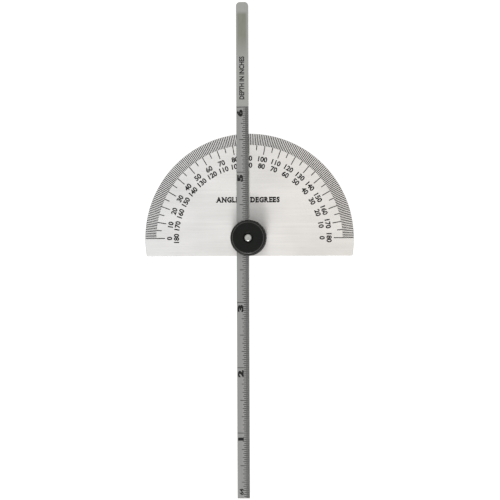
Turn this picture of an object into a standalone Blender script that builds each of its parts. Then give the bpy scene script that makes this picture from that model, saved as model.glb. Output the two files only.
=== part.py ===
"""Protractor and depth gauge, built for Blender 4.5 in metres with +Z up.

A half-round steel protractor plate carries a narrow steel rule across its front. A stud turns in the
plate's bore: its head sits in a counterbore at the back, and its half-round neck guides one edge of the
rule. A grooved collar straddles the rule, and a wave washer and a flat washer press on it, all under the
hollow back of a black knurled nut.

Frame: the origin is on the swivel axis at the plate's back. +Z points out of the graduated front,
+Y runs along the rule towards the plate's arc, and +X points to the right.
"""

import math

import bmesh
import bpy
from mathutils import Matrix

MM = 0.001
INCH = 25.4 * MM

# Running gaps.
FACE_GAP = 0.05 * MM  # between flat faces that press on each other when the nut is tight
BORE_GAP = 0.05 * MM  # radial, between a shaft and its hole
SLIDE_GAP = 0.05 * MM  # on each side of the rule in its guide

# Protractor plate.
PLATE_RADIUS = 40.8 * MM
PLATE_THICKNESS = 1.6 * MM
BASE_DROP = 7.0 * MM  # from the swivel axis down to the straight base edge
PLATE_EDGE_BREAK = 0.15 * MM
PLATE_CORNER_RADIUS = 0.5 * MM

# Degree lines engraved in the plate, from the rim inwards.
DEGREE_LINE_LENGTH = 4.4 * MM
FIVE_DEGREE_LINE_LENGTH = 6.4 * MM
TEN_DEGREE_LINE_LENGTH = 7.8 * MM
DEGREE_LINE_WIDTH = 0.14 * MM
ENGRAVING_DEPTH = 0.08 * MM

# Rule: a blank handle above six graduated inches, with the zero at its lower end.
RULE_WIDTH = 3 / 16 * INCH
RULE_THICKNESS = 3 / 64 * INCH
RULE_LENGTH = 193.5 * MM
RULE_BELOW_PIVOT = 101.3 * MM  # how far the zero end stands below the swivel axis at rest
RULE_EDGE_BREAK = 0.08 * MM
RULE_TOP_CORNER_RADIUS = 1.5 * MM
RULE_INCHES = 6
RULE_LINES_PER_INCH = 16
RULE_LINE_WIDTH = 0.16 * MM
RULE_HALF_INCH_LINE_LENGTH = 3.6 * MM
RULE_LINE_LENGTH_STEP = 0.4 * MM

# Clamp stud, turned from one bar.
STUD_HEAD_RADIUS = 4.5 * MM
STUD_HEAD_HEIGHT = 0.8 * MM
STUD_SHANK_RADIUS = 3.0 * MM
STUD_THREAD_RADIUS = 1.45 * MM
STUD_END_BELOW_NUT_FACE = 0.15 * MM
STUD_END_CHAMFER = 0.3 * MM

# Grooved collar that presses the rule on the plate.
COLLAR_RADIUS = 5.65 * MM
COLLAR_ROOF = 0.75 * MM  # above the groove
COLLAR_LIFT = 0.2 * MM  # clear of the plate, so that the rule takes the load
COLLAR_EDGE_BREAK = 0.2 * MM

# Wave washer, drawn as it sits under the tight nut.
WAVE_WASHER_RADIUS = 4.4 * MM
WAVE_WASHER_HOLE = 2.2 * MM
WAVE_WASHER_THICKNESS = 0.2 * MM
WAVE_WASHER_HEIGHT = 0.45 * MM
WAVES = 3

# Flat washer.
FLAT_WASHER_RADIUS = 5.0 * MM
FLAT_WASHER_HOLE = 1.6 * MM
FLAT_WASHER_THICKNESS = 0.5 * MM

# Knurled nut, hollow at the back so that its rim stands just clear of the rule.
NUT_RADIUS = 7.0 * MM
NUT_HEIGHT = 6.5 * MM
NUT_ABOVE_RULE = 0.2 * MM
NUT_RECESS_RADIUS = 5.8 * MM
NUT_FACE_RADIUS = 5.8 * MM
NUT_LIP_RADIUS = 6.3 * MM
NUT_LIP_DROP = 0.25 * MM
NUT_CHAMFER_HEIGHT = 1.1 * MM
NUT_LOWER_CHAMFER = 0.3 * MM
NUT_BORE_RADIUS = 1.5 * MM
NUT_COUNTERSINK_RADIUS = 2.1 * MM
NUT_COUNTERSINK_DEPTH = 0.6 * MM
KNURL_TEETH = 56
KNURL_DEPTH = 0.25 * MM

# Facets round a full circle.
TURNED_SEGMENTS = 64
WAVE_SEGMENTS = 48

# Heights of the stack along the swivel axis, from the back to the front.
PLATE_FRONT = PLATE_THICKNESS
RULE_BACK = PLATE_FRONT + FACE_GAP
RULE_FRONT = RULE_BACK + RULE_THICKNESS
NECK_TOP = RULE_FRONT + 2 * FACE_GAP
COLLAR_BACK = PLATE_FRONT + COLLAR_LIFT
COLLAR_GROOVE_TOP = RULE_FRONT + FACE_GAP
COLLAR_FRONT = COLLAR_GROOVE_TOP + COLLAR_ROOF
WAVE_WASHER_BACK = COLLAR_FRONT + FACE_GAP
FLAT_WASHER_BACK = WAVE_WASHER_BACK + WAVE_WASHER_HEIGHT + FACE_GAP
NUT_SEAT = FLAT_WASHER_BACK + FLAT_WASHER_THICKNESS + FACE_GAP
NUT_BACK = RULE_FRONT + NUT_ABOVE_RULE
NUT_FRONT = NUT_BACK + NUT_HEIGHT
STUD_END = NUT_FRONT - STUD_END_BELOW_NUT_FACE

# The rule's right edge runs through the swivel axis, and the stud's neck stands just beside it.
RULE_RIGHT = 0.0
RULE_LEFT = RULE_RIGHT - RULE_WIDTH
RULE_BOTTOM = -RULE_BELOW_PIVOT
RULE_TOP = RULE_BOTTOM + RULE_LENGTH

CUT_PAST = 1.0 * MM  # how far a cutter runs past the face that it cuts through
WELD = 1e-7
SMOOTH_BELOW = math.radians(30)


def clear_scene():
    """Remove whatever the file holds."""
    for old in list(bpy.data.objects):
        bpy.data.objects.remove(old, do_unlink=True)


def metal(name, colour, roughness, metallic=1.0):
    """A plain metal: colour is linear RGB."""
    material = bpy.data.materials.new(name)
    material.use_nodes = True
    shader = material.node_tree.nodes["Principled BSDF"]
    shader.inputs["Base Color"].default_value = (*colour, 1.0)
    shader.inputs["Roughness"].default_value = roughness
    shader.inputs["Metallic"].default_value = metallic
    return material


def object_from(bm, name, material=None):
    """Close a bmesh into an object with outward faces, smooth except at its edges."""
    bmesh.ops.remove_doubles(bm, verts=bm.verts, dist=WELD)
    bmesh.ops.recalc_face_normals(bm, faces=bm.faces)
    mesh = bpy.data.meshes.new(name)
    bm.to_mesh(mesh)
    bm.free()
    mesh.shade_smooth()
    mesh.set_sharp_from_angle(angle=SMOOTH_BELOW)
    obj = bpy.data.objects.new(name, mesh)
    bpy.context.scene.collection.objects.link(obj)
    if material:
        mesh.materials.append(material)
    return obj


def turned(name, outline, material=None, closed=True):
    """Spin an outline of (radius, height) points round the Z axis.

    An open outline starts and ends on the axis.
    """
    bm = bmesh.new()
    points = [bm.verts.new((radius, 0.0, height)) for radius, height in outline]
    pairs = list(zip(points, points[1:]))
    if closed:
        pairs.append((points[-1], points[0]))
    edges = [bm.edges.new(pair) for pair in pairs]
    bmesh.ops.spin(
        bm,
        geom=points + edges,
        cent=(0, 0, 0),
        axis=(0, 0, 1),
        angle=math.tau,
        steps=TURNED_SEGMENTS,
        use_merge=True,
    )
    return object_from(bm, name, material)


def prism(name, outline, bottom, top, material=None):
    """Extrude a flat outline of (x, y) points from one height to another."""
    bm = bmesh.new()
    face = bm.faces.new([bm.verts.new((x, y, bottom)) for x, y in outline])
    raised = bmesh.ops.extrude_face_region(bm, geom=[face])["geom"]
    moved = [item for item in raised if isinstance(item, bmesh.types.BMVert)]
    bmesh.ops.translate(bm, verts=moved, vec=(0, 0, top - bottom))
    return object_from(bm, name, material)


def arc(centre, radius, start, end, steps):
    """Points along an arc, with angles in radians from +X, both ends included."""
    points = []
    for step in range(steps + 1):
        angle = start + (end - start) * step / steps
        points.append((centre[0] + radius * math.cos(angle), centre[1] + radius * math.sin(angle)))
    return points


def break_edges(obj, width, segments=1):
    """Bevel the sharp edges of an object."""
    bevel = obj.modifiers.new("edge break", "BEVEL")
    bevel.width = width
    bevel.segments = segments
    bevel.limit_method = "ANGLE"
    bevel.angle_limit = math.radians(40)


def cut(obj, cutter, name):
    """Take a cutter away from an object; the cutter stays in the scene as a hidden guide."""
    cutter.hide_render = True
    cutter.display_type = "WIRE"
    boolean = obj.modifiers.new(name, "BOOLEAN")
    boolean.operation = "DIFFERENCE"
    boolean.solver = "EXACT"
    boolean.object = cutter


def bar_cutter(name, bars):
    """One cutter from many upright bars.

    Each bar is (x, y, angle, length, width, bottom, top): it is centred on x, y, and its length lies
    along angle.
    """
    bm = bmesh.new()
    for x, y, angle, length, width, bottom, top in bars:
        made = bmesh.ops.create_cube(bm, size=1.0)["verts"]
        bmesh.ops.scale(bm, verts=made, vec=(length, width, top - bottom))
        bmesh.ops.rotate(bm, verts=made, cent=(0, 0, 0), matrix=Matrix.Rotation(angle, 3, "Z"))
        bmesh.ops.translate(bm, verts=made, vec=(x, y, (bottom + top) / 2))
    return object_from(bm, name)


def plate_outline():
    """The circle, cut by the straight base edge, with slightly rounded lower corners."""
    inset = PLATE_CORNER_RADIUS
    corner_y = -BASE_DROP + inset
    corner_x = math.sqrt((PLATE_RADIUS - inset) ** 2 - corner_y**2)
    tangent = math.atan2(corner_y, corner_x)
    outline = arc((0, 0), PLATE_RADIUS, tangent, math.pi - tangent, 200)
    outline += arc((-corner_x, corner_y), inset, math.pi - tangent, 1.5 * math.pi, 6)[1:]
    outline += arc((corner_x, corner_y), inset, -0.5 * math.pi, tangent, 6)[:-1]
    return outline


def degree_line_length(degree):
    """Every fifth and tenth line is longer."""
    if degree % 10 == 0:
        return TEN_DEGREE_LINE_LENGTH
    if degree % 5 == 0:
        return FIVE_DEGREE_LINE_LENGTH
    return DEGREE_LINE_LENGTH


def degree_line_bars():
    """One bar for each degree from 0 to 180, running out past the rim."""
    bars = []
    for degree in range(181):
        angle = math.radians(degree)
        inner = PLATE_RADIUS - degree_line_length(degree)
        outer = PLATE_RADIUS + CUT_PAST
        middle = (inner + outer) / 2
        x = middle * math.cos(angle)
        y = middle * math.sin(angle)
        bottom = PLATE_FRONT - ENGRAVING_DEPTH
        bars.append((x, y, angle, outer - inner, DEGREE_LINE_WIDTH, bottom, PLATE_FRONT + CUT_PAST))
    return bars


def protractor_plate(material):
    """Half-round plate with the stud's bore and counterbore, engraved every degree."""
    plate = prism("protractor_plate", plate_outline(), 0.0, PLATE_FRONT, material)
    break_edges(plate, PLATE_EDGE_BREAK)
    head_room = STUD_HEAD_RADIUS + BORE_GAP
    bore = STUD_SHANK_RADIUS + BORE_GAP
    shoulder = STUD_HEAD_HEIGHT + FACE_GAP
    hole = [
        (0.0, -CUT_PAST),
        (head_room, -CUT_PAST),
        (head_room, shoulder),
        (bore, shoulder),
        (bore, PLATE_FRONT + CUT_PAST),
        (0.0, PLATE_FRONT + CUT_PAST),
    ]
    cut(plate, turned("cut_stud_bore", hole, closed=False), "stud bore")
    cut(plate, bar_cutter("cut_degree_lines", degree_line_bars()), "degree lines")
    return plate


def rule_outline():
    """Square zero end and rounded corners at the handle end."""
    radius = RULE_TOP_CORNER_RADIUS
    outline = [(RULE_LEFT, RULE_BOTTOM), (RULE_RIGHT, RULE_BOTTOM)]
    outline += arc((RULE_RIGHT - radius, RULE_TOP - radius), radius, 0.0, 0.5 * math.pi, 8)
    outline += arc((RULE_LEFT + radius, RULE_TOP - radius), radius, 0.5 * math.pi, math.pi, 8)
    return outline


def rule_line_length(line):
    """Inch lines cross the rule; each finer division, down to the sixteenths, is a step shorter."""
    if line % RULE_LINES_PER_INCH == 0:
        return RULE_WIDTH
    length = RULE_HALF_INCH_LINE_LENGTH
    step = RULE_LINES_PER_INCH // 2
    while line % step:
        length -= RULE_LINE_LENGTH_STEP
        step //= 2
    return length


def rule_line_bars():
    """One bar for each sixteenth of an inch, running out past the rule's right edge."""
    bars = []
    for line in range(1, RULE_INCHES * RULE_LINES_PER_INCH + 1):
        length = rule_line_length(line)
        past_left = CUT_PAST if length == RULE_WIDTH else 0.0
        left = RULE_RIGHT - length - past_left
        right = RULE_RIGHT + CUT_PAST
        y = RULE_BOTTOM + line * INCH / RULE_LINES_PER_INCH
        bottom = RULE_FRONT - ENGRAVING_DEPTH
        top = RULE_FRONT + CUT_PAST
        bars.append(((left + right) / 2, y, 0.0, right - left, RULE_LINE_WIDTH, bottom, top))
    return bars


def depth_rule(material):
    """The narrow rule, engraved every sixteenth of an inch."""
    rule = prism("depth_rule", rule_outline(), RULE_BACK, RULE_FRONT, material)
    break_edges(rule, RULE_EDGE_BREAK)
    cut(rule, bar_cutter("cut_rule_lines", rule_line_bars()), "rule lines")
    return rule


def clamp_stud(material):
    """Flush head, round shank with a half-round neck beside the rule, and the threaded end."""
    outline = [
        (0.0, 0.0),
        (STUD_HEAD_RADIUS, 0.0),
        (STUD_HEAD_RADIUS, STUD_HEAD_HEIGHT),
        (STUD_SHANK_RADIUS, STUD_HEAD_HEIGHT),
        (STUD_SHANK_RADIUS, NECK_TOP),
        (STUD_THREAD_RADIUS, NECK_TOP),
        (STUD_THREAD_RADIUS, STUD_END - STUD_END_CHAMFER),
        (STUD_THREAD_RADIUS - STUD_END_CHAMFER, STUD_END),
        (0.0, STUD_END),
    ]
    stud = turned("clamp_stud", outline, material, closed=False)
    right = RULE_RIGHT + SLIDE_GAP
    left = -STUD_SHANK_RADIUS - CUT_PAST
    half = STUD_SHANK_RADIUS + CUT_PAST
    notch = prism("cut_neck", [(left, -half), (right, -half), (right, half), (left, half)], PLATE_FRONT, NECK_TOP)
    cut(stud, notch, "rule notch")
    return stud


def clamp_collar(material):
    """Disc with a groove for the rule and a pocket for the stud's neck."""
    hole = FLAT_WASHER_HOLE
    chamfer = COLLAR_EDGE_BREAK
    outline = [
        (hole, COLLAR_BACK),
        (COLLAR_RADIUS, COLLAR_BACK),
        (COLLAR_RADIUS, COLLAR_FRONT - chamfer),
        (COLLAR_RADIUS - chamfer, COLLAR_FRONT),
        (hole, COLLAR_FRONT),
    ]
    collar = turned("clamp_collar", outline, material)
    left = RULE_LEFT - SLIDE_GAP
    right = RULE_RIGHT + SLIDE_GAP
    half = COLLAR_RADIUS + CUT_PAST
    bottom = COLLAR_BACK - CUT_PAST
    groove = [(left, -half), (right, -half), (right, half), (left, half)]
    cut(collar, prism("cut_groove", groove, bottom, COLLAR_GROOVE_TOP), "rule groove")
    pocket_radius = STUD_SHANK_RADIUS + BORE_GAP
    pocket_top = NECK_TOP + FACE_GAP
    pocket = [(0.0, bottom), (pocket_radius, bottom), (pocket_radius, pocket_top), (0.0, pocket_top)]
    cut(collar, turned("cut_neck_pocket", pocket, closed=False), "neck pocket")
    return collar


def wave_washer(material):
    """Thin spring ring that rises and falls round its circle."""
    bm = bmesh.new()
    amplitude = (WAVE_WASHER_HEIGHT - WAVE_WASHER_THICKNESS) / 2
    rings = []
    for step in range(WAVE_SEGMENTS):
        angle = math.tau * step / WAVE_SEGMENTS
        bottom = WAVE_WASHER_BACK + amplitude * (1 - math.cos(WAVES * angle))
        corners = [
            (WAVE_WASHER_HOLE, bottom),
            (WAVE_WASHER_RADIUS, bottom),
            (WAVE_WASHER_RADIUS, bottom + WAVE_WASHER_THICKNESS),
            (WAVE_WASHER_HOLE, bottom + WAVE_WASHER_THICKNESS),
        ]
        ring = [bm.verts.new((r * math.cos(angle), r * math.sin(angle), z)) for r, z in corners]
        rings.append(ring)
    for here, there in zip(rings, rings[1:] + rings[:1]):
        for side in range(4):
            after = (side + 1) % 4
            bm.faces.new((here[side], here[after], there[after], there[side]))
    return object_from(bm, "wave_washer", material)


def flat_washer(material):
    """Plain ring under the nut."""
    back = FLAT_WASHER_BACK
    front = back + FLAT_WASHER_THICKNESS
    outline = [
        (FLAT_WASHER_HOLE, back),
        (FLAT_WASHER_RADIUS, back),
        (FLAT_WASHER_RADIUS, front),
        (FLAT_WASHER_HOLE, front),
    ]
    return turned("flat_washer", outline, material)


def nut_sections():
    """The nut's outline from its seat, down the hollow, out, up and back in: (radius, height, knurled)."""
    knurl_bottom = NUT_BACK + NUT_LOWER_CHAMFER
    knurl_top = NUT_FRONT - NUT_CHAMFER_HEIGHT
    root = NUT_RADIUS - KNURL_DEPTH
    lip_height = NUT_FRONT - NUT_LIP_DROP
    above_root = knurl_top + (lip_height - knurl_top) * KNURL_DEPTH / (NUT_RADIUS - NUT_LIP_RADIUS)
    return [
        (NUT_BORE_RADIUS, NUT_SEAT, False),
        (NUT_RECESS_RADIUS, NUT_SEAT, False),
        (NUT_RECESS_RADIUS, NUT_BACK, False),
        (root - NUT_LOWER_CHAMFER, NUT_BACK, False),
        (NUT_RADIUS, knurl_bottom, True),
        (NUT_RADIUS, knurl_top, True),
        (root, above_root, False),
        (NUT_LIP_RADIUS, lip_height, False),
        (NUT_FACE_RADIUS, NUT_FRONT, False),
        (NUT_COUNTERSINK_RADIUS, NUT_FRONT, False),
        (NUT_BORE_RADIUS, NUT_FRONT - NUT_COUNTERSINK_DEPTH, False),
    ]


def knurled_nut(material):
    """Round nut with a straight knurl, a chamfer and a flatter lip round the face, and a hollow back."""
    bm = bmesh.new()
    count = 2 * KNURL_TEETH
    rings = []
    for radius, height, knurled in nut_sections():
        ring = []
        for step in range(count):
            angle = math.tau * step / count
            depth = KNURL_DEPTH if knurled and step % 2 else 0.0
            reach = radius - depth
            ring.append(bm.verts.new((reach * math.cos(angle), reach * math.sin(angle), height)))
        rings.append(ring)
    for lower, upper in zip(rings, rings[1:] + rings[:1]):
        for step in range(count):
            after = (step + 1) % count
            bm.faces.new((lower[step], lower[after], upper[after], upper[step]))
    return object_from(bm, "knurled_nut", material)


def build():
    """Make every piece in its place."""
    clear_scene()
    brushed = metal("brushed stainless steel", (0.78, 0.77, 0.75), 0.32)
    satin = metal("satin stainless steel", (0.50, 0.50, 0.49), 0.40)
    bright = metal("turned steel", (0.60, 0.60, 0.59), 0.28)
    spring = metal("spring steel", (0.38, 0.37, 0.36), 0.35)
    black = metal("black oxide", (0.018, 0.018, 0.019), 0.42, 0.6)
    protractor_plate(brushed)
    depth_rule(satin)
    clamp_stud(bright)
    clamp_collar(bright)
    wave_washer(spring)
    flat_washer(bright)
    knurled_nut(black)


build()
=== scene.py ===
"""Finished look of the protractor and depth gauge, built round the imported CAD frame.

Every piece is fine mesh work in the CAD's own places: the plate, rule, stud, collar, washers and nut
are rebuilt with rounded edges, a real thread and a real knurl, and the graduations, digits and words
are thin black inlays. Lengths are in metres, +Z points out of the graduated front.
"""

import math

import bmesh
import bpy
from mathutils import Matrix, Vector


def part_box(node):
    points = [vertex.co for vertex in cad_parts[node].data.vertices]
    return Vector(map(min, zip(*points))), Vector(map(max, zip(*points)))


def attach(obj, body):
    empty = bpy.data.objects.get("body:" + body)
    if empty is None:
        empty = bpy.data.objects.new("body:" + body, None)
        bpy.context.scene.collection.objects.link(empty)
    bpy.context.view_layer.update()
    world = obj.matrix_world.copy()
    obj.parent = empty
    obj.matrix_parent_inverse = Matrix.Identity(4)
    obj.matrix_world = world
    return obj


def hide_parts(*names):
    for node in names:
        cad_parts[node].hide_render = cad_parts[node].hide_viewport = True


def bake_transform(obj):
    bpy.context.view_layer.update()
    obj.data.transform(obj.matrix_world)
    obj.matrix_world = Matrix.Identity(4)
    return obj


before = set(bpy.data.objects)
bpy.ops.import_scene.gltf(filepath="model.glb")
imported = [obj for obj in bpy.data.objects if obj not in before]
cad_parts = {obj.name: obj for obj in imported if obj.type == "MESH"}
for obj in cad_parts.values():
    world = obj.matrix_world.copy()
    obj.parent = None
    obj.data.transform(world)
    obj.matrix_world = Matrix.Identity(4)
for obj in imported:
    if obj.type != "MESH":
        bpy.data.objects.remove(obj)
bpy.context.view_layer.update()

MM = 0.001
INCH = 25.4 * MM

# Places and sizes that come from the CAD frame.
PLATE_LOW, PLATE_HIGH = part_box("protractor_plate")
RULE_LOW, RULE_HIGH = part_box("depth_rule")
_, STUD_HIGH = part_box("clamp_stud")
COLLAR_LOW, COLLAR_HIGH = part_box("clamp_collar")
WAVE_LOW, WAVE_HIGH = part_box("wave_washer")
FLAT_LOW, FLAT_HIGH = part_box("flat_washer")
NUT_LOW, NUT_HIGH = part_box("knurled_nut")
PLATE_RADIUS = PLATE_HIGH.x
PLATE_FRONT = PLATE_HIGH.z
RULE_FRONT = RULE_HIGH.z
RULE_INCHES = 6

# Clearances and hidden sizes, as in the CAD.
RUNNING_GAP = 0.05 * MM
SHANK_RADIUS = 3.0 * MM
HEAD_HEIGHT = 0.8 * MM
HEAD_RADIUS = STUD_HIGH.x
NECK_TOP = RULE_FRONT + 0.1 * MM
GROOVE_TOP = RULE_FRONT + RUNNING_GAP
WASHER_HOLE = 1.6 * MM
NUT_SEAT = FLAT_HIGH.z + RUNNING_GAP

INLAY_RISE = 0.006 * MM
INLAY_SINK = 0.02 * MM
SMOOTH_BELOW = math.radians(35)


# ---------------------------------------------------------------- mesh helpers


def finish_mesh(bm, name, material, smooth=SMOOTH_BELOW):
    """Turn a bmesh into an object, smooth except at its edges."""
    bmesh.ops.remove_doubles(bm, verts=bm.verts, dist=1e-8)
    bmesh.ops.recalc_face_normals(bm, faces=bm.faces)
    mesh = bpy.data.meshes.new(name)
    bm.to_mesh(mesh)
    bm.free()
    mesh.shade_smooth()
    mesh.set_sharp_from_angle(angle=smooth)
    obj = bpy.data.objects.new(name, mesh)
    bpy.context.scene.collection.objects.link(obj)
    if material:
        mesh.materials.append(material)
    return obj


def arc(centre, radius, start, end, steps):
    """Points along an arc, both ends included."""
    points = []
    for step in range(steps + 1):
        angle = start + (end - start) * step / steps
        points.append((centre[0] + radius * math.cos(angle), centre[1] + radius * math.sin(angle)))
    return points


def lathe(name, outline, material, segments=128, closed=True):
    """Spin an outline of (radius, height) points round the Z axis."""
    bm = bmesh.new()
    points = [bm.verts.new((radius, 0.0, height)) for radius, height in outline]
    pairs = list(zip(points, points[1:]))
    if closed:
        pairs.append((points[-1], points[0]))
    edges = [bm.edges.new(pair) for pair in pairs]
    bmesh.ops.spin(
        bm,
        geom=points + edges,
        cent=(0, 0, 0),
        axis=(0, 0, 1),
        angle=math.tau,
        steps=segments,
        use_merge=True,
    )
    return finish_mesh(bm, name, material)


def prism(name, outline, bottom, top, material=None):
    """Extrude a flat outline of (x, y) points from one height to another."""
    bm = bmesh.new()
    face = bm.faces.new([bm.verts.new((x, y, bottom)) for x, y in outline])
    raised = bmesh.ops.extrude_face_region(bm, geom=[face])["geom"]
    moved = [item for item in raised if isinstance(item, bmesh.types.BMVert)]
    bmesh.ops.translate(bm, verts=moved, vec=(0, 0, top - bottom))
    return finish_mesh(bm, name, material)


def surface_of_turns(bm, rings, close_profile):
    """Join rings of vertices, each a full circle, into one skin."""
    pairs = list(zip(rings, rings[1:]))
    if close_profile:
        pairs.append((rings[-1], rings[0]))
    for lower, upper in pairs:
        count = len(lower)
        for step in range(count):
            after = (step + 1) % count
            bm.faces.new((lower[step], lower[after], upper[after], upper[step]))


def rounded(outline, radius, corners, steps=4):
    """Round the chosen corners of a closed outline of (radius, height) points."""
    result = []
    count = len(outline)
    for index, point in enumerate(outline):
        here = Vector(point)
        if index not in corners:
            result.append(point)
            continue
        before = (Vector(outline[index - 1]) - here).normalized()
        after = (Vector(outline[(index + 1) % count]) - here).normalized()
        start = here + before * radius
        end = here + after * radius
        for step in range(steps + 1):
            share = step / steps
            bent = (start.lerp(here, share)).lerp(here.lerp(end, share), share)
            result.append((bent.x, bent.y))
    return result


def soften(obj, width, segments=3):
    """Round the sharp edges of an object."""
    bevel = obj.modifiers.new("soft edges", "BEVEL")
    bevel.width = width
    bevel.segments = segments
    bevel.limit_method = "ANGLE"
    bevel.angle_limit = math.radians(40)
    bevel.harden_normals = True
    return obj


def subtract(obj, cutter):
    """Cut one object out of another at once, and drop the cutter."""
    boolean = obj.modifiers.new("cut", "BOOLEAN")
    boolean.operation = "DIFFERENCE"
    boolean.solver = "EXACT"
    boolean.object = cutter
    graph = bpy.context.evaluated_depsgraph_get()
    cut_mesh = bpy.data.meshes.new_from_object(obj.evaluated_get(graph))
    obj.modifiers.remove(boolean)
    obj.data = cut_mesh
    bpy.data.objects.remove(cutter)
    obj.data.shade_smooth()
    obj.data.set_sharp_from_angle(angle=SMOOTH_BELOW)
    return obj


# ---------------------------------------------------------------- materials


def node(tree, kind, inputs=None, **settings):
    """Add a node; each input is a value or another node's output socket."""
    made = tree.nodes.new(kind)
    for key, value in settings.items():
        setattr(made, key, value)
    for key, value in (inputs or {}).items():
        if isinstance(value, bpy.types.NodeSocket):
            tree.links.new(value, made.inputs[key])
        else:
            made.inputs[key].default_value = value
    return made


def stretched_noise(tree, size, detail=4.0, rough=0.5, offset=(0, 0, 0)):
    """Noise whose features are about size = (x, y, z) metres big, fixed to the piece."""
    place = node(tree, "ShaderNodeTexCoord")
    scale = [1 / length for length in size]
    mapping = node(
        tree,
        "ShaderNodeMapping",
        {"Vector": place.outputs["Object"], "Scale": scale, "Location": offset},
    )
    noise = node(
        tree,
        "ShaderNodeTexNoise",
        {"Vector": mapping.outputs["Vector"], "Scale": 1.0, "Detail": detail, "Roughness": rough},
    )
    return noise.outputs["Fac"]


def remap(tree, value, low, high, to_low=0.0, to_high=1.0):
    """Stretch a value from low..high to to_low..to_high, clamped."""
    ranged = node(
        tree,
        "ShaderNodeMapRange",
        {"Value": value, "From Min": low, "From Max": high, "To Min": to_low, "To Max": to_high},
    )
    return ranged.outputs["Result"]


def blend_colours(tree, share, first, second, mode="MIX"):
    """Mix two colours, each a value or a socket, by a share."""
    mixed = node(tree, "ShaderNodeMix", data_type="RGBA", blend_type=mode)
    for socket, value in ((mixed.inputs[0], share), (mixed.inputs[6], first), (mixed.inputs[7], second)):
        if isinstance(value, bpy.types.NodeSocket):
            tree.links.new(value, socket)
        elif isinstance(value, tuple):
            socket.default_value = (*value, 1.0)
        else:
            socket.default_value = value
    return mixed.outputs[2]


def new_material(name, metallic, **shader_values):
    """A material with its Principled shader; values that are the same all over go on its sockets."""
    material = bpy.data.materials.new(name)
    material.use_nodes = True
    tree = material.node_tree
    shader = tree.nodes["Principled BSDF"]
    shader.inputs["Metallic"].default_value = metallic
    for key, value in shader_values.items():
        shader.inputs[key.replace("_", " ")].default_value = value
    return material, tree, shader


def bump(tree, shader, height, distance, strength):
    """Drive the shader's normal from a height."""
    bumped = node(
        tree, "ShaderNodeBump", {"Height": height, "Distance": distance, "Strength": strength}
    )
    tree.links.new(bumped.outputs["Normal"], shader.inputs["Normal"])


def grain_direction(tree, shader, across):
    """Stretch the highlights across the grain: across is a direction on the piece."""
    value = node(tree, "ShaderNodeCombineXYZ", {"X": across[0], "Y": across[1], "Z": across[2]})
    turned = node(
        tree,
        "ShaderNodeVectorTransform",
        {"Vector": value.outputs["Vector"]},
        vector_type="VECTOR",
        convert_from="OBJECT",
        convert_to="WORLD",
    )
    tree.links.new(turned.outputs["Vector"], shader.inputs["Tangent"])


def darker_edges(tree, base, edge_shade_colour):
    """The sheet's side walls are painted darker, as painted shade, and are ground in short strokes."""
    place = node(tree, "ShaderNodeTexCoord")
    facing = node(tree, "ShaderNodeSeparateXYZ", {"Vector": place.outputs["Normal"]})
    flat = node(tree, "ShaderNodeMath", {0: facing.outputs["Z"]}, operation="ABSOLUTE")
    # Painted shade: the more a face turns sideways, the more it takes the darker edge colour.
    edge = remap(tree, flat.outputs["Value"], 0.35, 0.85, 1.0, 0.0)
    strokes = stretched_noise(tree, (0.15 * MM, 0.15 * MM, 1.5 * MM), detail=3)
    ground = blend_colours(tree, remap(tree, strokes, 0.3, 0.7), (0.85, 0.85, 0.85), (1.1, 1.1, 1.1))
    cut = blend_colours(tree, 1.0, edge_shade_colour, ground, "MULTIPLY")
    return blend_colours(tree, edge, base, cut)


def brushed_plate():
    """Very light steel, brushed along the base edge, a little warmer to the right."""
    material, tree, shader = new_material("brushed_plate_steel", 1.0, Anisotropic=0.9)
    fine = stretched_noise(tree, (9 * MM, 0.07 * MM, 1 * MM), detail=3)
    streaks = stretched_noise(tree, (40 * MM, 0.9 * MM, 5 * MM), detail=5, rough=0.6, offset=(3, 7, 0))
    clouds = stretched_noise(tree, (22 * MM, 13 * MM, 20 * MM), detail=3, offset=(1.3, 4.1, 0))
    place = node(tree, "ShaderNodeTexCoord")
    split = node(tree, "ShaderNodeSeparateXYZ", {"Vector": place.outputs["Object"]})
    sideways = remap(tree, split.outputs["X"], -PLATE_RADIUS, PLATE_RADIUS)
    cool_to_warm = blend_colours(tree, sideways, (0.68, 0.68, 0.675), (0.725, 0.695, 0.66))
    toned = blend_colours(tree, remap(tree, clouds, 0.3, 0.7), (0.94, 0.94, 0.94), (1.06, 1.06, 1.06))
    base = blend_colours(tree, 1.0, cool_to_warm, toned, "MULTIPLY")
    streaked = blend_colours(tree, remap(tree, streaks, 0.3, 0.7), (0.96, 0.96, 0.96), (1.03, 1.03, 1.03))
    base = blend_colours(tree, 1.0, base, streaked, "MULTIPLY")
    grained = blend_colours(tree, remap(tree, fine, 0.3, 0.7), (0.93, 0.93, 0.93), (1.05, 1.05, 1.05))
    base = blend_colours(tree, 1.0, base, grained, "MULTIPLY")
    # Painted shade on the plate's side walls.
    base = darker_edges(tree, base, (0.33, 0.33, 0.32))
    tree.links.new(base, shader.inputs["Base Color"])
    tree.links.new(remap(tree, fine, 0.25, 0.75, 0.44, 0.56), shader.inputs["Roughness"])
    bump(tree, shader, fine, 0.004 * MM, 0.35)
    grain_direction(tree, shader, (0, 1, 0))
    return material


def window(tree, value, start, end, fade):
    """1 between start and end, fading to 0 outside them."""
    rise = remap(tree, value, start - fade, start + fade)
    fall = remap(tree, value, end - fade, end + fade, 1.0, 0.0)
    return node(tree, "ShaderNodeMath", {0: rise, 1: fall}, operation="MULTIPLY").outputs["Value"]


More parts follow.
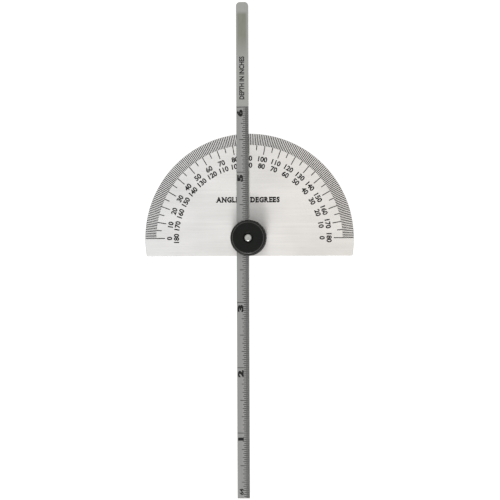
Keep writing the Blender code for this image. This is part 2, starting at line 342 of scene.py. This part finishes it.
def satin_rule():
    """Greyer steel, brushed along the rule; the bare handle is lighter, with a patch dulled by fingers."""
    material, tree, shader = new_material("satin_rule_steel", 1.0, Anisotropic=0.6)
    fine = stretched_noise(tree, (0.06 * MM, 8 * MM, 1 * MM), detail=3)
    streaks = stretched_noise(tree, (0.8 * MM, 30 * MM, 5 * MM), detail=4, offset=(2, 5, 0))
    base = blend_colours(tree, remap(tree, streaks, 0.3, 0.7), (0.295, 0.297, 0.287), (0.35, 0.35, 0.342))
    place = node(tree, "ShaderNodeTexCoord")
    split = node(tree, "ShaderNodeSeparateXYZ", {"Vector": place.outputs["Object"]})
    scale_end = RULE_LOW.y + RULE_INCHES * INCH
    bare = window(tree, split.outputs["Y"], scale_end + 0.3 * MM, 2 * RULE_HIGH.y, 0.5 * MM)
    base = blend_colours(tree, bare, base, (0.39, 0.392, 0.372))
    patch_top = remap(tree, split.outputs["Y"], RULE_HIGH.y - 4.8 * MM, RULE_HIGH.y - 3.6 * MM, 1.0, 0.0)
    patch_fade = remap(tree, split.outputs["Y"], RULE_HIGH.y - 23 * MM, RULE_HIGH.y - 13 * MM)
    patch_length = node(tree, "ShaderNodeMath", {0: patch_top, 1: patch_fade}, operation="MULTIPLY")
    patch_width = window(tree, split.outputs["X"], RULE_LOW.x + 0.5 * MM, RULE_HIGH.x - 0.7 * MM, 0.4 * MM)
    smudge = stretched_noise(tree, (1.5 * MM, 5 * MM, 5 * MM), detail=3, offset=(4, 1, 0))
    dulled = node(
        tree,
        "ShaderNodeMath",
        {0: patch_length.outputs["Value"], 1: patch_width},
        operation="MULTIPLY",
    )
    dulled = node(
        tree,
        "ShaderNodeMath",
        {0: dulled.outputs["Value"], 1: remap(tree, smudge, 0.25, 0.75, 0.75, 1.0)},
        operation="MULTIPLY",
    )
    base = blend_colours(tree, dulled.outputs["Value"], base, (0.245, 0.25, 0.205))
    grained = blend_colours(tree, remap(tree, fine, 0.3, 0.7), (0.90, 0.90, 0.90), (1.07, 1.07, 1.07))
    base = blend_colours(tree, 1.0, base, grained, "MULTIPLY")
    # Painted shade on the rule's side walls.
    base = darker_edges(tree, base, (0.24, 0.24, 0.23))
    tree.links.new(base, shader.inputs["Base Color"])
    tree.links.new(remap(tree, fine, 0.25, 0.75, 0.38, 0.52), shader.inputs["Roughness"])
    bump(tree, shader, fine, 0.004 * MM, 0.35)
    grain_direction(tree, shader, (1, 0, 0))
    return material


def turned_steel(name, colour, roughness):
    """Steel with the fine rings that a lathe leaves."""
    material, tree, shader = new_material(name, 1.0)
    place = node(tree, "ShaderNodeTexCoord")
    rings = node(
        tree,
        "ShaderNodeTexWave",
        {"Vector": place.outputs["Object"], "Scale": 1 / (1.6 * MM), "Distortion": 0.6, "Detail": 2.0},
        wave_type="RINGS",
        rings_direction="Z",
    )
    blotches = stretched_noise(tree, (1.2 * MM, 1.2 * MM, 1.2 * MM), detail=4)
    darker = tuple(0.82 * channel for channel in colour)
    base = blend_colours(tree, remap(tree, blotches, 0.3, 0.7), darker, colour)
    tree.links.new(base, shader.inputs["Base Color"])
    uneven = remap(tree, blotches, 0.3, 0.7, roughness * 0.8, roughness * 1.25)
    tree.links.new(uneven, shader.inputs["Roughness"])
    bump(tree, shader, rings.outputs["Fac"], 0.01 * MM, 0.3)
    return material


def turned_tangent(tree, shader):
    """Stretch the highlights outwards from the Z axis, across a lathe's rings."""
    around = node(tree, "ShaderNodeTangent", direction_type="RADIAL", axis="Z")
    tree.links.new(around.outputs["Tangent"], shader.inputs["Tangent"])
    shader.inputs["Anisotropic Rotation"].default_value = 0.25


def black_oxide():
    """Blued black steel, worn greyer on the knurl's tips; the grey ring round the lip of the nut's face is a
    painted highlight, and the grey lands at the chamfer are part wear, part painted highlight.
    """
    material, tree, shader = new_material(
        "black_oxide_steel", 0.0, Specular_IOR_Level=0.15, Anisotropic=0.4
    )
    blotches = stretched_noise(tree, (1.5 * MM, 1.5 * MM, 1.5 * MM), detail=5, rough=0.6)
    grain = stretched_noise(tree, (0.12 * MM, 0.12 * MM, 0.12 * MM), detail=2)
    place = node(tree, "ShaderNodeTexCoord")
    rings = node(
        tree,
        "ShaderNodeTexWave",
        {"Vector": place.outputs["Object"], "Scale": 1 / (2.4 * MM), "Distortion": 1.2, "Detail": 3.0},
        wave_type="RINGS",
        rings_direction="Z",
    )
    base = blend_colours(tree, remap(tree, blotches, 0.3, 0.7), (0.002, 0.003, 0.002), (0.005, 0.006, 0.0045))
    # Grey where worn and where a highlight is painted: knurl tips are wear, the lip ring is a painted
    # highlight, the chamfer's lands are both.
    wear_and_highlight = node(tree, "ShaderNodeAttribute", attribute_name="wear_and_highlight")
    wear_and_highlight_share = node(
        tree,
        "ShaderNodeMath",
        {0: wear_and_highlight.outputs["Fac"], 1: remap(tree, grain, 0.35, 0.75)},
        operation="MULTIPLY",
    )
    base = blend_colours(tree, wear_and_highlight_share.outputs["Value"], base, (0.22, 0.22, 0.21))
    tree.links.new(base, shader.inputs["Base Color"])
    tree.links.new(remap(tree, blotches, 0.3, 0.7, 0.18, 0.28), shader.inputs["Roughness"])
    height = node(
        tree,
        "ShaderNodeMath",
        {0: rings.outputs["Fac"], 1: remap(tree, grain, 0.3, 0.7, 0.0, 0.5)},
        operation="ADD",
    )
    bump(tree, shader, height.outputs["Value"], 0.008 * MM, 0.3)
    turned_tangent(tree, shader)
    return material


def black_fill(name):
    """Black paint in the engraved lines, a little uneven."""
    material, tree, shader = new_material(name, 0.0, Specular_IOR_Level=0.2)
    specks = stretched_noise(tree, (0.25 * MM, 0.25 * MM, 0.25 * MM), detail=3)
    base = blend_colours(tree, remap(tree, specks, 0.35, 0.8), (0.006, 0.006, 0.006), (0.02, 0.02, 0.019))
    tree.links.new(base, shader.inputs["Base Color"])
    tree.links.new(remap(tree, specks, 0.3, 0.7, 0.45, 0.65), shader.inputs["Roughness"])
    return material


# ---------------------------------------------------------------- inlays


class Inlays:
    """Collects thin flat solids that lie in one face and become one object."""

    def __init__(self, surface):
        self.surface = surface
        self.bm = bmesh.new()

    def polygon(self, points):
        """A convex or simple polygon of (x, y) points, as a thin solid."""
        low = [self.bm.verts.new((x, y, self.surface - INLAY_SINK)) for x, y in points]
        high = [self.bm.verts.new((x, y, self.surface + INLAY_RISE)) for x, y in points]
        self.bm.faces.new(high)
        self.bm.faces.new(low[::-1])
        for index in range(len(points)):
            after = (index + 1) % len(points)
            self.bm.faces.new((low[index], low[after], high[after], high[index]))

    def bar(self, centre, angle, length, width):
        """A straight line of the given length along angle."""
        along = Vector((math.cos(angle), math.sin(angle))) * length / 2
        across = Vector((-math.sin(angle), math.cos(angle))) * width / 2
        middle = Vector(centre)
        near = (middle - along - across, middle + along - across)
        far = (middle + along + across, middle - along + across)
        self.polygon([tuple(corner) for corner in near + far])

    def words(self, solids, centre, up, cap_height, length=None):
        """Letter solids centred on a point, with their tops towards up, stretched to a length if given."""
        across = [x for points, _ in solids for x, _, _ in points]
        left, right = min(across), max(across)
        scale = cap_height / CAP_HEIGHT
        wide = length / (right - left) if length else scale
        up = Vector(up).normalized()
        along = Vector((up.y, -up.x))
        for points, faces in solids:
            made = []
            for x, y, raised in points:
                sideways = along * (x - (left + right) / 2) * wide
                flat = Vector(centre) + sideways + up * (y - CAP_HEIGHT / 2) * scale
                height = self.surface + (INLAY_RISE if raised else -INLAY_SINK)
                made.append(self.bm.verts.new((flat.x, flat.y, height)))
            for face in faces:
                self.bm.faces.new([made[index] for index in face])

    def done(self, name, material):
        """The finished object."""
        mesh = bpy.data.meshes.new(name)
        bmesh.ops.recalc_face_normals(self.bm, faces=self.bm.faces)
        self.bm.to_mesh(mesh)
        self.bm.free()
        mesh.materials.append(material)
        obj = bpy.data.objects.new(name, mesh)
        bpy.context.scene.collection.objects.link(obj)
        return obj


CAP_HEIGHT = 0.69
LETTER_SPACE = 0.09
WORD_SPACE = 0.32
SERIF_THICKNESS = 0.06
SERIF_REACH = 0.15
# Serifs of each capital: (share of its width, share of its height, runs up and down).
SERIFS = {
    "A": ((0.08, 0, False), (0.92, 0, False)),
    "D": ((0.10, 0, False), (0.10, 1, False)),
    "E": ((0.16, 0, False), (0.16, 1, False), (0.98, 0.12, True), (0.98, 0.88, True), (0.86, 0.52, True)),
    "G": ((0.92, 0.82, True), (0.86, 0.46, False)),
    "I": ((0.50, 0, False), (0.50, 1, False)),
    "L": ((0.16, 0, False), (0.16, 1, False), (0.98, 0.12, True)),
    "N": ((0.08, 0, False), (0.06, 1, False), (0.92, 1, False)),
    "R": ((0.12, 0, False), (0.12, 1, False), (0.94, 0, False)),
    "S": ((0.90, 0.84, True), (0.08, 0.16, True)),
}
LETTER_SOLIDS = {}


def plain_solids(text, weight):
    """A text as one solid at size 1, in Blender's own built-in font, thickened by weight."""
    key = (text, weight)
    if key not in LETTER_SOLIDS:
        curve = bpy.data.curves.new("letters", "FONT")
        curve.body = text
        curve.extrude = 0.5
        curve.offset = weight
        curve.resolution_u = 4
        obj = bpy.data.objects.new("letters", curve)
        bpy.context.scene.collection.objects.link(obj)
        graph = bpy.context.evaluated_depsgraph_get()
        mesh = bpy.data.meshes.new_from_object(obj.evaluated_get(graph))
        points = [(vertex.co.x, vertex.co.y, vertex.co.z > 0) for vertex in mesh.vertices]
        LETTER_SOLIDS[key] = [(points, [tuple(face.vertices) for face in mesh.polygons])]
        bpy.data.objects.remove(obj)
        bpy.data.curves.remove(curve)
        bpy.data.meshes.remove(mesh)
    return LETTER_SOLIDS[key]


def slab(left, right, bottom, top):
    """A flat rectangular solid."""
    corners = ((left, bottom), (right, bottom), (right, top), (left, top))
    points = [(x, y, raised) for raised in (False, True) for x, y in corners]
    sides = [(index, (index + 1) % 4, (index + 1) % 4 + 4, index + 4) for index in range(4)]
    return points, [(3, 2, 1, 0), (4, 5, 6, 7)] + sides


def serif_solids(text, weight):
    """Capitals with slab serifs, one solid for each letter and each serif."""
    solids = []
    pen = 0.0
    for letter in text:
        if letter == " ":
            pen += WORD_SPACE
            continue
        points, faces = plain_solids(letter, weight)[0]
        left = min(x for x, _, _ in points)
        width = max(x for x, _, _ in points) - left
        solids.append(([(x - left + pen, y, raised) for x, y, raised in points], faces))
        for share, level, upright in SERIFS[letter]:
            x = pen + share * width
            thick, reach = SERIF_THICKNESS / 2, SERIF_REACH
            y = thick + level * (CAP_HEIGHT - 2 * thick)
            if upright:
                solids.append(slab(x - thick, x + thick, y - reach * 0.7, y + reach * 0.7))
            else:
                solids.append(slab(x - reach, x + reach, y - thick - weight / 2, y + thick + weight / 2))
        pen += width + LETTER_SPACE
    return solids


# ---------------------------------------------------------------- plate


PLATE_EDGE = 0.12 * MM
PLATE_CORNER = 0.5 * MM
EDGE_STEPS = 4
BASE_STEPS = 120
DEGREE_LINE_WIDTH = 0.34 * MM
NUMBER_HEIGHT = 1.85 * MM
OUTER_NUMBERS_RADIUS = 31.2 * MM
INNER_NUMBERS_RADIUS = 28.5 * MM


def plate_outline(inset):
    """Star-shaped outline round the pivot: rim, rounded lower corners and straight base edge."""
    corner = PLATE_CORNER
    corner_y = PLATE_LOW.y + corner
    corner_x = math.sqrt((PLATE_RADIUS - corner) ** 2 - corner_y**2)
    tangent = math.atan2(corner_y, corner_x)
    outline = arc((0, 0), PLATE_RADIUS - inset, tangent, math.pi - tangent, 400)
    outline += arc((-corner_x, corner_y), corner - inset, math.pi - tangent, 1.5 * math.pi, 8)[1:]
    base_y = PLATE_LOW.y + inset
    base_angle = math.atan2(-base_y, corner_x)
    for step in range(1, BASE_STEPS):
        angle = math.pi + base_angle + (math.pi - 2 * base_angle) * step / BASE_STEPS
        outline.append((base_y / math.tan(angle), base_y))
    outline += arc((corner_x, corner_y), corner - inset, -0.5 * math.pi, tangent, 8)[:-1]
    return outline


def make_plate(steel):
    """Half-round plate with softened edges, the stud's bore and its counterbore."""
    bm = bmesh.new()
    middles = [math.atan2(y, x) for x, y in plate_outline(PLATE_EDGE)]
    head_room = HEAD_RADIUS + RUNNING_GAP
    bore = SHANK_RADIUS + RUNNING_GAP
    shoulder = HEAD_HEIGHT + RUNNING_GAP
    soft = 0.08 * MM
    hole = [
        (head_room + 2 * soft, 0.0),
        (head_room + soft, 0.0),
        (head_room, soft),
        (head_room, shoulder),
        (bore, shoulder),
        (bore, PLATE_FRONT - soft),
        (bore + soft, PLATE_FRONT),
        (bore + 2 * soft, PLATE_FRONT),
    ]
    rings = []
    for radius, height in hole:
        circle = [(radius * math.cos(angle), radius * math.sin(angle)) for angle in middles]
        rings.append([bm.verts.new((x, y, height)) for x, y in circle])
    rim = [(PLATE_EDGE * 1.4, PLATE_FRONT)]
    for step in range(EDGE_STEPS + 1):
        turn = 0.5 * math.pi * step / EDGE_STEPS
        rim.append((PLATE_EDGE * (1 - math.sin(turn)), PLATE_FRONT - PLATE_EDGE * (1 - math.cos(turn))))
    rim += [(inset, PLATE_FRONT - height) for inset, height in reversed(rim)]
    for inset, height in rim:
        rings.append([bm.verts.new((x, y, height)) for x, y in plate_outline(inset)])
    surface_of_turns(bm, rings, close_profile=True)
    plate = finish_mesh(bm, "plate_body", steel)
    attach(plate, "head")
    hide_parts("protractor_plate")


def degree_line_length(degree):
    """Every fifth and tenth line is longer."""
    if degree % 10 == 0:
        return 7.8 * MM
    if degree % 5 == 0:
        return 6.4 * MM
    return 4.4 * MM


def make_plate_marks(paint):
    """Degree lines, both rows of numbers and the words across the plate."""
    lines = Inlays(PLATE_FRONT)
    rim = PLATE_RADIUS - PLATE_EDGE
    for degree in range(181):
        angle = math.radians(degree)
        inner = PLATE_RADIUS - degree_line_length(degree)
        middle = (rim + inner) / 2
        centre = (middle * math.cos(angle), middle * math.sin(angle))
        lines.bar(centre, angle, rim - inner, DEGREE_LINE_WIDTH)
    numbers = Inlays(PLATE_FRONT)
    for degree in range(0, 181, 10):
        angle = math.radians(degree)
        up = (math.cos(angle), math.sin(angle))
        for radius, value in ((OUTER_NUMBERS_RADIUS, 180 - degree), (INNER_NUMBERS_RADIUS, degree)):
            centre = (radius * up[0], radius * up[1])
            numbers.words(plain_solids(str(value), 0.038), centre, up, NUMBER_HEIGHT)
    words = Inlays(PLATE_FRONT)
    caption = serif_solids("ANGLE IN DEGREES", 0.058)
    words.words(caption, (-0.5 * MM, 15.0 * MM), (0, 1), 1.9 * MM, length=25 * MM)
    for inlay, name in ((lines, "plate_degree_lines"), (numbers, "plate_numbers"), (words, "plate_words")):
        obj = inlay.done(name, paint)
        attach(obj, "head")


# ---------------------------------------------------------------- rule


LINES_PER_INCH = 64
RULE_LINE_WIDTH = 0.19 * MM
DIGITS_FROM_RIGHT = 3.38 * MM
DIGITS_BELOW_LINE = 2.35 * MM


def rule_outline():
    """Square zero end and rounded corners at the handle end."""
    radius = 1.5 * MM
    outline = [(RULE_LOW.x, RULE_LOW.y), (RULE_HIGH.x, RULE_LOW.y)]
    outline += arc((RULE_HIGH.x - radius, RULE_HIGH.y - radius), radius, 0.0, 0.5 * math.pi, 16)
    outline += arc((RULE_LOW.x + radius, RULE_HIGH.y - radius), radius, 0.5 * math.pi, math.pi, 16)
    return outline


def rule_line_length(line):
    """Each halving of the inch has a shorter line."""
    lengths = {64: RULE_HIGH.x - RULE_LOW.x - 0.16 * MM, 32: 3.5 * MM, 16: 2.9 * MM, 8: 2.6 * MM, 4: 2.4 * MM}
    for step, length in lengths.items():
        if line % step == 0:
            return length
    return 2.05 * MM if line % 2 == 0 else 1.25 * MM


def make_rule(steel, paint):
    """The rule with its lines, digits and words."""
    rule = prism("rule_body", rule_outline(), RULE_LOW.z, RULE_FRONT, steel)
    soften(rule, 0.08 * MM)
    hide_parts("depth_rule")
    lines = Inlays(RULE_FRONT)
    right = RULE_HIGH.x - 0.08 * MM
    for line in range(1, RULE_INCHES * LINES_PER_INCH + 1):
        length = rule_line_length(line)
        y = RULE_LOW.y + line * INCH / LINES_PER_INCH
        width = RULE_LINE_WIDTH * (1.3 if line % 2 == 0 else 1.0)
        lines.bar((right - length / 2, y), 0.0, length, width)
    digits = Inlays(RULE_FRONT)
    x = RULE_HIGH.x - DIGITS_FROM_RIGHT
    up = (-1, 0)
    for inch in range(1, RULE_INCHES + 1):
        width = 1.2 * MM if inch == 1 else 2.8 * MM
        y = RULE_LOW.y + inch * INCH - DIGITS_BELOW_LINE
        digits.words(plain_solids(str(inch), 0.066), (x, y), up, 1.9 * MM, length=width)
    small = (RULE_HIGH.x - 3.2 * MM, RULE_LOW.y + 2.6 * MM)
    digits.words(plain_solids("64", 0.035), small, up, 1.4 * MM, length=2.4 * MM)
    words = Inlays(RULE_FRONT)
    middle = (RULE_HIGH.x - 2.6 * MM, RULE_LOW.y + RULE_INCHES * INCH + 11.4 * MM)
    words.words(plain_solids("DEPTH IN INCHES", 0.034), middle, up, 1.8 * MM, length=16.8 * MM)
    pieces = [rule]
    pieces.append(lines.done("rule_lines", paint))
    pieces.append(digits.done("rule_digits", paint))
    pieces.append(words.done("rule_words", paint))
    for obj in pieces:
        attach(obj, "rule")


# ---------------------------------------------------------------- clamp


THREAD_PITCH = 0.5 * MM
THREAD_DEPTH = 0.27 * MM
THREAD_MAJOR = 1.45 * MM
THREAD_AROUND = 48
THREAD_PER_PITCH = 8


def thread_radius(angle, height, bottom, top):
    """Radius of a right-hand V thread, run out at both ends."""
    turn = (height / THREAD_PITCH - angle / math.tau) % 1.0
    groove = THREAD_DEPTH * abs(2 * turn - 1)
    fade = min(1.0, (top - height) / THREAD_PITCH, (height - bottom) / THREAD_PITCH)
    return THREAD_MAJOR - groove * max(0.0, fade)


def make_stud(steel):
    """Flush head and half-round neck, and the threaded end that shows in the nut's face."""
    dimple = 0.5 * MM
    outline = [
        (0.0, 0.35 * MM),
        (dimple, 0.0),
        (HEAD_RADIUS - 0.12 * MM, 0.0),
        (HEAD_RADIUS, 0.12 * MM),
        (HEAD_RADIUS, HEAD_HEIGHT),
        (SHANK_RADIUS, HEAD_HEIGHT),
        (SHANK_RADIUS, NECK_TOP),
        (0.0, NECK_TOP),
    ]
    base = lathe("stud_head_and_neck", outline, steel, closed=False)
    far = 2 * SHANK_RADIUS
    notch = [(-far, -far), (RUNNING_GAP, -far), (RUNNING_GAP, far), (-far, far)]
    subtract(base, prism("notch_cutter", notch, PLATE_FRONT, NECK_TOP + 1 * MM))
    soften(base, 0.04 * MM, 2)
    bm = bmesh.new()
    bottom, top = NECK_TOP - 0.02 * MM, STUD_HIGH.z
    chamfer = 0.3 * MM
    levels = round((top - chamfer - bottom) / THREAD_PITCH * THREAD_PER_PITCH)
    rings = []
    for level in range(levels + 1):
        height = bottom + (top - chamfer - bottom) * level / levels
        ring = []
        for step in range(THREAD_AROUND):
            angle = math.tau * step / THREAD_AROUND
            radius = thread_radius(angle, height, bottom, top - chamfer)
            ring.append(bm.verts.new((radius * math.cos(angle), radius * math.sin(angle), height)))
        rings.append(ring)
    point = [(1.1 * MM, top - 0.03 * MM), (1.0 * MM, top), (0.35 * MM, top), (0.2 * MM, top - 0.1 * MM)]
    for radius, height in point:
        ring = []
        for step in range(THREAD_AROUND):
            angle = math.tau * step / THREAD_AROUND
            ring.append(bm.verts.new((radius * math.cos(angle), radius * math.sin(angle), height)))
        rings.append(ring)
    surface_of_turns(bm, rings, close_profile=False)
    bm.faces.new(rings[0][::-1])
    bm.faces.new(rings[-1])
    thread = finish_mesh(bm, "stud_thread", steel)
    for obj in (base, thread):
        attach(obj, "swivel")
        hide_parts("clamp_stud")


def make_collar(steel):
    """Disc with a groove for the rule and a pocket for the stud's neck."""
    radius = COLLAR_HIGH.x
    outline = [
        (WASHER_HOLE, COLLAR_LOW.z),
        (radius, COLLAR_LOW.z),
        (radius, COLLAR_HIGH.z),
        (WASHER_HOLE, COLLAR_HIGH.z),
    ]
    collar = lathe("collar_body", outline, steel)
    half = radius + 1 * MM
    bottom = COLLAR_LOW.z - 1 * MM
    left, right = RULE_LOW.x - RUNNING_GAP, RULE_HIGH.x + RUNNING_GAP
    groove = [(left, -half), (right, -half), (right, half), (left, half)]
    subtract(collar, prism("groove_cutter", groove, bottom, GROOVE_TOP))
    pocket_radius = SHANK_RADIUS + RUNNING_GAP
    pocket_top = NECK_TOP + RUNNING_GAP
    pocket = [(0.0, bottom), (pocket_radius, bottom), (pocket_radius, pocket_top), (0.0, pocket_top)]
    subtract(collar, lathe("pocket_cutter", pocket, None, closed=False))
    soften(collar, 0.07 * MM, 2)
    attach(collar, "swivel")
    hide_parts("clamp_collar")


WAVES = 3
WAVE_STRIP = 0.2 * MM
WAVE_HOLE = 2.2 * MM


def make_wave_washer(steel):
    """Thin spring ring; only its middle surface bends, so the strip keeps its thickness as the waves grow."""
    around, across = 144, 6
    inner, outer = WAVE_HOLE, WAVE_HIGH.x
    bottom, top = WAVE_LOW.z + WAVE_STRIP / 2, WAVE_HIGH.z - WAVE_STRIP / 2
    amplitude = (top - bottom) / 2
    bm = bmesh.new()
    rings = []
    for row in range(across + 1):
        radius = inner + (outer - inner) * row / across
        ring = []
        for step in range(around):
            angle = math.tau * step / around
            z = bottom + amplitude * (1 - math.cos(WAVES * angle))
            ring.append(bm.verts.new((radius * math.cos(angle), radius * math.sin(angle), z)))
        rings.append(ring)
    surface_of_turns(bm, rings, close_profile=False)
    washer = finish_mesh(bm, "wave_washer_ring", steel)
    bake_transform(washer)
    strip = washer.modifiers.new("strip", "SOLIDIFY")
    strip.thickness = WAVE_STRIP
    strip.offset = 0.0
    soften(washer, 0.05 * MM, 2)
    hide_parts("wave_washer")


def make_flat_washer(steel):
    """Plain ring with rounded edges."""
    radius = FLAT_HIGH.x
    low, high = FLAT_LOW.z, FLAT_HIGH.z
    outline = [(WASHER_HOLE, low), (radius, low), (radius, high), (WASHER_HOLE, high)]
    washer = lathe("flat_washer_ring", rounded(outline, 0.1 * MM, range(4)), steel)
    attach(washer, "washer")
    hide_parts("flat_washer")


KNURL_TEETH = 56
KNURL_DEPTH = 0.36 * MM
KNURL_LAND = 0.1
KNURL_STEPS = 10
KNURL_ROW = 0.08 * MM
NUT_RADIUS = NUT_HIGH.x
NUT_FACE_RADIUS = 5.8 * MM
NUT_LIP_RADIUS = 6.3 * MM
NUT_LIP_DROP = 0.25 * MM
NUT_CHAMFER = 1.1 * MM


def knurl_depth(angle, height):
    """Depth of two crossing sets of V grooves, and how worn the surface is there."""
    turns = angle / math.tau * KNURL_TEETH
    climb = height / (math.tau * NUT_RADIUS / KNURL_TEETH)
    first = abs(2 * ((turns + climb) % 1.0) - 1)
    second = abs(2 * ((turns - climb) % 1.0) - 1)
    cut = max(first, second)
    return KNURL_DEPTH * max(0.0, cut - KNURL_LAND) / (1 - KNURL_LAND), max(0.0, 1 - 4 * cut)


def nut_levels():
    """The nut's outline from its hollow back, up its wall and over its face: (radius, height)."""
    recess, bore = 5.8 * MM, 1.5 * MM
    low, high = NUT_LOW.z, NUT_HIGH.z
    soft = 0.1 * MM
    levels = [
        (bore, NUT_SEAT),
        (recess - soft, NUT_SEAT),
        (recess, NUT_SEAT - soft),
        (recess, low + soft),
        (recess + soft, low),
        (NUT_RADIUS - 3.5 * soft, low),
    ]
    cone = (NUT_RADIUS, high - NUT_CHAMFER)
    rows = round((cone[1] - low) / KNURL_ROW)
    for row in range(1, rows + 1):
        rise = (cone[1] - low) * row / rows
        levels.append((min(NUT_RADIUS, NUT_RADIUS - 3 * soft + rise), low + rise))
    lip = (NUT_LIP_RADIUS, high - NUT_LIP_DROP)
    steps = 12
    for step in range(1, steps + 1):
        share = step / steps
        levels.append((cone[0] + (lip[0] - cone[0]) * share, cone[1] + (lip[1] - cone[1]) * share))
    inner = (NUT_FACE_RADIUS + soft / 2, high - soft / 4)
    steps = 6
    for step in range(1, steps + 1):
        share = step / steps
        levels.append((lip[0] + (inner[0] - lip[0]) * share, lip[1] + (inner[1] - lip[1]) * share))
    levels.append((NUT_FACE_RADIUS, high - soft / 8))
    levels.append((NUT_FACE_RADIUS - soft, high))
    levels += [(radius * MM, high) for radius in (5.2, 4.6, 4.0, 3.4, 2.8, 2.2)]
    levels += [(2.1 * MM, high - 0.03 * MM), (2.0 * MM, high - 0.15 * MM), (bore, high - 0.8 * MM)]
    return levels


def edge_wear(radius, height, land):
    """A painted highlight as a grey ring on the lip round the face, and wear with a painted highlight on the
    lands where the chamfer cuts the knurl.
    """
    if height < NUT_HIGH.z - NUT_CHAMFER:
        return 0.0
    middle = (NUT_FACE_RADIUS + NUT_LIP_RADIUS) / 2
    # Painted highlight: a grey ring across the lip, strongest midway between the face and the lip's edge.
    lip = 0.8 * max(0.0, 1 - abs(radius - middle) / (0.5 * (NUT_LIP_RADIUS - NUT_FACE_RADIUS)))
    # The lands where the chamfer cuts the knurl: worn, and painted light as a highlight.
    return max(lip, 0.9 if land and radius > NUT_RADIUS - 0.9 * KNURL_DEPTH else 0.0)


def make_nut(steel):
    """Round nut with a diamond knurl, a wide chamfer round its face and a hollow back."""
    bm = bmesh.new()
    wear_and_highlight = bm.verts.layers.float.new("wear_and_highlight")
    around = KNURL_TEETH * KNURL_STEPS
    knurl_from = NUT_RADIUS - KNURL_DEPTH
    rings = []
    for reach, height in nut_levels():
        ring = []
        for step in range(around):
            angle = math.tau * step / around
            depth, worn = knurl_depth(angle, height)
            radius = min(reach, NUT_RADIUS - depth) if reach > knurl_from else reach
            vertex = bm.verts.new((radius * math.cos(angle), radius * math.sin(angle), height))
            # Knurl tips carry wear; the lip ring is a painted highlight and the chamfer's lands are both.
            vertex[wear_and_highlight] = max(worn, edge_wear(radius, height, radius == reach))
            ring.append(vertex)
        rings.append(ring)
    surface_of_turns(bm, rings, close_profile=True)
    nut = finish_mesh(bm, "nut_body", steel)
    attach(nut, "nut")
    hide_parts("knurled_nut")


# ---------------------------------------------------------------- stage, light and camera


def make_stage():
    """A plain white floor."""
    material, _, shader = new_material("pale_floor", 0.0, Roughness=0.9, Specular_IOR_Level=0.0)
    shader.inputs["Base Color"].default_value = (0.3, 0.3, 0.3, 1.0)
    shader.inputs["Emission Color"].default_value = (1.0, 1.0, 1.0, 1.0)
    shader.inputs["Emission Strength"].default_value = 0.86
    bm = bmesh.new()
    bmesh.ops.create_circle(bm, cap_ends=True, radius=8.0, segments=64)
    floor = finish_mesh(bm, "floor", material)
    floor.location.z = -0.05 * MM


def area_light(name, place, target, size, power):
    """A soft rectangular light that faces target."""
    light = bpy.data.lights.new(name, "AREA")
    light.shape = "RECTANGLE"
    light.size, light.size_y = size
    light.energy = power
    obj = bpy.data.objects.new(name, light)
    obj.location = place
    obj.rotation_euler = (Vector(target) - Vector(place)).to_track_quat("-Z", "Y").to_euler()
    bpy.context.scene.collection.objects.link(obj)


FRONT_POWER = 2.7
FRONT_DISTANCE = 0.9
FRONT_RISE = math.radians(38)
FRONT_ASIDE = math.radians(-8)
FRONT_SIZE = (0.55, 0.15)
# Brightness of the surroundings by how far a direction points up, from level to straight up.
SKY_BANDS = ((0.0, 1.0), (0.05, 1.0), (0.22, 0.5), (0.45, 0.5), (0.8, 1.06))


def make_light():
    """White near the floor and overhead with a greyer band between, and a wide soft light in front."""
    world = bpy.data.worlds.new("studio")
    world.use_nodes = True
    background = world.node_tree.nodes["Background"]
    tree = world.node_tree
    place = node(tree, "ShaderNodeTexCoord")
    split = node(tree, "ShaderNodeSeparateXYZ", {"Vector": place.outputs["Generated"]})
    sky = node(tree, "ShaderNodeValToRGB", {"Fac": split.outputs["Z"]})
    ramp = sky.color_ramp
    while len(ramp.elements) < len(SKY_BANDS):
        ramp.elements.new(1.0)
    for element, (position, level) in zip(ramp.elements, SKY_BANDS):
        element.position = position
        element.color = (level, level, level, 1.0)
    tree.links.new(sky.outputs["Color"], background.inputs["Color"])
    background.inputs["Strength"].default_value = 1.0
    bpy.context.scene.world = world
    flat = FRONT_DISTANCE * math.cos(FRONT_RISE)
    height = FRONT_DISTANCE * math.sin(FRONT_RISE)
    spot = (flat * math.sin(FRONT_ASIDE), -flat * math.cos(FRONT_ASIDE), height)
    area_light("front_softbox", spot, (0, 0, 0), FRONT_SIZE, FRONT_POWER)


CAMERA_PLACE = (31.8 * MM, -10.8 * MM, 542.9 * MM)
CAMERA_TURN = (0.643, 3.328, -0.223)


def make_camera():
    """Almost straight above, a little to the right."""
    camera = bpy.data.cameras.new("camera")
    camera.sensor_width = 36.0
    camera.lens = 100.0
    camera.clip_start = 0.01
    camera.clip_end = 50.0
    obj = bpy.data.objects.new("camera", camera)
    turn = Vector(math.radians(angle) for angle in CAMERA_TURN)
    obj.rotation_mode = "QUATERNION"
    obj.rotation_quaternion = Matrix.Rotation(turn.length, 3, turn.normalized()).to_quaternion()
    obj.location = CAMERA_PLACE
    bpy.context.scene.collection.objects.link(obj)
    bpy.context.scene.camera = obj
    bpy.context.scene.view_settings.view_transform = "Standard"


def build():
    """Make every piece."""
    paint = black_fill("black_line_fill")
    bright = turned_steel("turned_bright_steel", (0.44, 0.44, 0.42), 0.30)
    make_plate(brushed_plate())
    make_plate_marks(paint)
    make_rule(satin_rule(), paint)
    make_stud(bright)
    make_collar(bright)
    make_wave_washer(turned_steel("spring_steel", (0.38, 0.37, 0.36), 0.35))
    make_flat_washer(bright)
    make_nut(black_oxide())
    make_stage()
    make_light()
    make_camera()


build()
